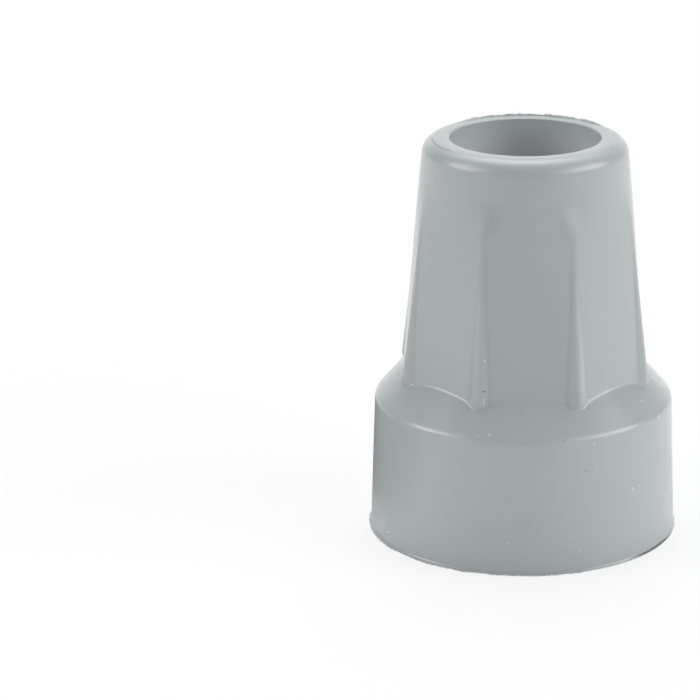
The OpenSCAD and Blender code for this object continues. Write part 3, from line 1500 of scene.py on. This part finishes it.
@dataclass
class Dust:
    """Crumbs of dust and lint that cling to the rubber, scattered by a node tree.

    Attributes:
        density: how many crumbs there are on a square metre.
        crumb_r: the usual radius of a crumb.
        smallest: the smallest crumb's share of that.
        largest: the largest crumb's share of that.
        front_limit: only points further back than this get any.
        low_limit: only points higher than this get any.
        seed: the seed of all random draws.
    """

    density: float = 9000.0
    crumb_r: float = 0.05 * MM
    smallest: float = 0.5
    largest: float = 1.4
    front_limit: float = 4.0 * MM
    low_limit: float = 1.0 * MM
    seed: int = 7

    def build(self, body: bpy.types.Object, material: bpy.types.Material) -> bpy.types.Object:
        """Scatters the crumbs over the back of a piece.

        Args:
            body: the piece that they lie on.
            material: their finish.

        Returns:
            All the crumbs as one piece.
        """
        tree = GeometryTree("clinging_dust", material)
        density = tree.size("Density", self.density)
        crumb_r = tree.size("Crumb radius", self.crumb_r)
        smallest = tree.size("Smallest share", self.smallest)
        largest = tree.size("Largest share", self.largest)
        front_limit = tree.size("Front limit", self.front_limit)
        low_limit = tree.size("Low limit", self.low_limit)
        place = tree.add("GeometryNodeInputPosition").outputs[0]
        parts = tree.add("ShaderNodeSeparateXYZ", {0: place})
        y, z = tree.value(parts.outputs["Y"]), tree.value(parts.outputs["Z"])
        behind = tree.math("GREATER_THAN", y, front_limit)
        above = tree.math("GREATER_THAN", z, low_limit)
        spread = tree.add(
            "GeometryNodeDistributePointsOnFaces",
            {"Mesh": tree.geometry, "Density": density, "Seed": self.seed},
        )
        tree.feed(spread.inputs["Selection"], behind * above)
        crumb = tree.add("GeometryNodeMeshIcoSphere", {"Radius": crumb_r, "Subdivisions": 2})
        scale = tree.add("FunctionNodeRandomValue", {"Seed": self.seed}, data_type="FLOAT")
        floats = [s for s in scale.inputs if s.type == "VALUE"]
        tree.feed(floats[0], smallest)
        tree.feed(floats[1], largest)
        size = next(s for s in scale.outputs if s.type == "VALUE")
        placed = tree.add(
            "GeometryNodeInstanceOnPoints",
            {
                "Points": spread.outputs["Points"],
                "Instance": crumb.outputs["Mesh"],
                "Rotation": spread.outputs["Rotation"],
                "Scale": size,
            },
        )
        tree.close(placed.outputs[0])
        piece = tree.run(body.data.copy(), "clinging_dust")
        piece.data.shade_smooth()
        return piece


# ---------------------------------------------------------------- studio


@dataclass(frozen=True)
class SidePanel:
    """A tall lit panel beside the object, as a soft patch of the surround.

    Angles are in degrees. Azimuths count from the front of the object, on the panel's own side.
    """

    side: float
    level: float
    near_edge: float
    near_soft: float
    far_edge: float
    far_soft: float
    bottom_soft: float = 14.0
    top_edge: float = 15.0
    top_soft: float = 39.0

    def light(self, maker: NodeMaker, azimuth: Value, elevation: Value) -> Value:
        """Works out the panel's light from one direction.

        Args:
            maker: the helper of the surround's tree.
            azimuth: the direction's azimuth, positive on the right.
            elevation: the direction's elevation.

        Returns:
            Its light, which fades over its near, far, bottom and top edges.
        """
        aside = azimuth * self.side
        near = maker.ramp(aside, self.near_edge, self.near_edge + self.near_soft)
        far = maker.ramp(aside, self.far_edge, self.far_edge + self.far_soft)
        bottom = maker.ramp(elevation, 0.0, self.bottom_soft)
        top = maker.ramp(elevation, self.top_edge, self.top_edge + self.top_soft)
        return near * (1.0 - far) * bottom * (1.0 - top) * self.level


@dataclass(frozen=True)
class BackGlow:
    """The pale wall behind the object, as a low soft patch of the surround.

    Angles are in degrees.
    """

    level: float = 1.1
    near_edge: float = 120.0
    near_soft: float = 50.0
    top_edge: float = 10.0
    top_soft: float = 20.0

    def light(self, maker: NodeMaker, azimuth: Value, elevation: Value) -> Value:
        """Works out its light from one direction.

        Args:
            maker: the helper of the surround's tree.
            azimuth: the direction's azimuth, positive on the right.
            elevation: the direction's elevation.

        Returns:
            Its light, which fades towards both sides and upwards.
        """
        aside = maker.math("ABSOLUTE", azimuth)
        near = maker.ramp(aside, self.near_edge, self.near_edge + self.near_soft)
        top = maker.ramp(elevation, self.top_edge, self.top_edge + self.top_soft)
        return near * (1.0 - top) * self.level


@dataclass(frozen=True)
class Overhead:
    """A broad soft light above and behind the object, as a soft patch of the surround.

    Angles are in degrees.
    """

    level: float = 4.33
    elevation: float = 65.7
    spread: float = 26.0

    def light(self, maker: NodeMaker, direction: bpy.types.NodeSocket) -> Value:
        """Works out its light from one direction.

        Args:
            maker: the helper of the surround's tree.
            direction: the direction, of length 1.

        Returns:
            Its light, which fades evenly away from its middle.
        """
        rise = math.radians(self.elevation)
        middle = (0.0, math.cos(rise), math.sin(rise))
        dot = maker.add("ShaderNodeVectorMath", {0: direction, 1: middle}, operation="DOT_PRODUCT")
        away = maker.math("ARCCOSINE", maker.value(dot.outputs["Value"]))
        apart = away * (1.0 / math.radians(self.spread))
        return maker.math("EXPONENT", apart * apart * -1.0) * self.level


@dataclass
class Studio:
    """A plain pale floor, a surround with soft lit panels, and the camera.

    The camera's angles are in degrees. Its lens and the width of its sensor are in millimetres.
    """

    floor_side: float = 6.0
    overhead: Overhead = Overhead()
    back_glow: BackGlow = BackGlow()
    left_panel: SidePanel = SidePanel(-1.0, 5.93, 32.5, 52.0, 87.2, 15.0)
    right_panel: SidePanel = SidePanel(1.0, 5.79, 11.8, 70.0, 88.5, 15.0)
    camera_place: tuple[float, float, float] = (-16.12 * MM, -384.66 * MM, 148.78 * MM)
    camera_yaw: float = -0.8925
    camera_pitch: float = -18.09
    camera_roll: float = -0.523
    lens: float = 163.1
    sensor_width: float = 36.0
    clip: tuple[float, float] = (0.01, 20.0)

    def build_floor(self) -> None:
        """Makes the floor, which isn't part of the object."""
        shape = bmesh.new()
        bmesh.ops.create_grid(shape, x_segments=1, y_segments=1, size=self.floor_side / 2)
        mesh = bpy.data.meshes.new("studio_floor")
        shape.to_mesh(mesh)
        shape.free()
        mesh.materials.append(FloorFinish().build())
        floor = bpy.data.objects.new("studio_floor", mesh)
        bpy.context.scene.collection.objects.link(floor)

    def build_world(self) -> None:
        """Makes the surround, which lights the object and is plain white to the camera."""
        world = bpy.data.worlds.new("studio_surround")
        world.use_nodes = True
        world.node_tree.nodes.clear()
        maker = NodeMaker(world.node_tree)
        direction = maker.add("ShaderNodeTexCoord").outputs["Generated"]
        parts = maker.add("ShaderNodeSeparateXYZ", {0: direction})
        x, y, z = (maker.value(socket) for socket in parts.outputs)
        degrees = math.degrees(1.0)
        azimuth = maker.math("ARCTAN2", x, y * -1.0) * degrees
        elevation = maker.math("ARCSINE", z) * degrees
        level = self.overhead.light(maker, direction)
        for patch in (self.left_panel, self.right_panel, self.back_glow):
            level = level + patch.light(maker, azimuth, elevation)
        seen = maker.value(maker.add("ShaderNodeLightPath").outputs["Is Camera Ray"])
        strength = level + (1.0 - level) * seen
        surround = maker.add("ShaderNodeBackground", {"Color": (1.0, 1.0, 1.0, 1.0)})
        maker.feed(surround.inputs["Strength"], strength)
        leave = maker.add("ShaderNodeOutputWorld")
        maker.feed(leave.inputs["Surface"], surround.outputs[0])
        bpy.context.scene.world = world

    def build_camera(self) -> None:
        """Makes the camera and sets it as the scene's own."""
        eye = bpy.data.cameras.new("camera")
        eye.sensor_width = self.sensor_width
        eye.lens = self.lens
        eye.clip_start, eye.clip_end = self.clip
        holder = bpy.data.objects.new("camera", eye)
        yaw, pitch, roll = (
            math.radians(a) for a in (self.camera_yaw, self.camera_pitch, self.camera_roll)
        )
        level = Matrix.Rotation(-yaw, 4, "Z") @ Matrix.Rotation(math.pi / 2 + pitch, 4, "X")
        holder.matrix_world = (
            Matrix.Translation(self.camera_place) @ level @ Matrix.Rotation(roll, 4, "Z")
        )
        bpy.context.scene.collection.objects.link(holder)
        bpy.context.scene.camera = holder

    def build(self) -> None:
        """Sets up the whole studio."""
        bpy.context.scene.view_settings.view_transform = "Standard"
        self.build_floor()
        self.build_world()
        self.build_camera()


# ---------------------------------------------------------------- the whole


# Painted light: a paler copy of the rubber for the back rim flash, which the lamps leave in shade.
PAINTED_LIGHT_SKIN = RubberFinish("painted_light_skin", tone=(0.5, 0.53, 0.53), pale_tone=(0.62, 0.65, 0.65))
TORN_SKIN = RubberFinish("torn_skin", pale_tip=0.55)
RIM_FLASH = TornFlash(
    name="rim_flash",
    root=(11.25 * MM, 50.85 * MM),
    tip=(11.24 * MM, 51.3 * MM),
    thickness=0.09 * MM,
    lobe_turn=172.0,
    lobe_reach=36.0,
    lobe_fade=26.0,
    least=0.26,
    tear=0.45,
    tear_scale=9.0,
)
RIM_SKIN = TornFlash(
    name="rim_skin",
    root=(9.8 * MM, 50.86 * MM),
    tip=(11.32 * MM, 50.955 * MM),
    thickness=0.1 * MM,
    lobe_turn=-60.0,
    lobe_reach=80.0,
    lobe_fade=60.0,
    least=0.94,
    tear=0.08,
    tear_scale=7.0,
)
FOOT_FLASH = TornFlash(
    name="foot_flash",
    root=(19.3 * MM, 0.12 * MM),
    tip=(20.05 * MM, 0.09 * MM),
    thickness=0.16 * MM,
    lobe_turn=-30.0,
    lobe_reach=30.0,
    lobe_fade=60.0,
    least=0.55,
    tear=0.3,
    tear_scale=7.0,
)


def settle(piece: bpy.types.Object) -> None:
    """Makes a piece part of the object and reports it.

    Args:
        piece: a finished piece, with its place in its mesh.
    """
    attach(piece, BODY)
    LOG.info("%s: %d faces", piece.name, len(piece.data.polygons))


def main() -> None:
    """Builds the cane tip and its studio."""
    logging.basicConfig(level=logging.INFO, format="%(name)s: %(message)s")
    low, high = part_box(CAD_NODE)
    socket = next(m for m in frame["record"]["mounts"] if m["name"] == "socket")
    body = MouldedBody(
        height=high.z - low.z,
        socket_r=socket["dims"]["r_mm"] * MM,
        socket_depth=SOCKET_DEPTH,
    )
    marks = PALE_SPECKS + DARK_SPECKS + SCUFFS_AND_PAINTED_SHADING + RIM_DARK_LINES
    moulding = body.build(RubberFinish("moulded_rubber", marks=marks))
    settle(moulding)
    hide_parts(CAD_NODE)
    settle(RIM_FLASH.build(PAINTED_LIGHT_SKIN.build()))
    skin = TORN_SKIN.build()
    for flash in (RIM_SKIN, FOOT_FLASH):
        settle(flash.build(skin))
    settle(Dust().build(moulding, DustFinish().build()))
    Studio().build()


if __name__ == "__main__":
    main()
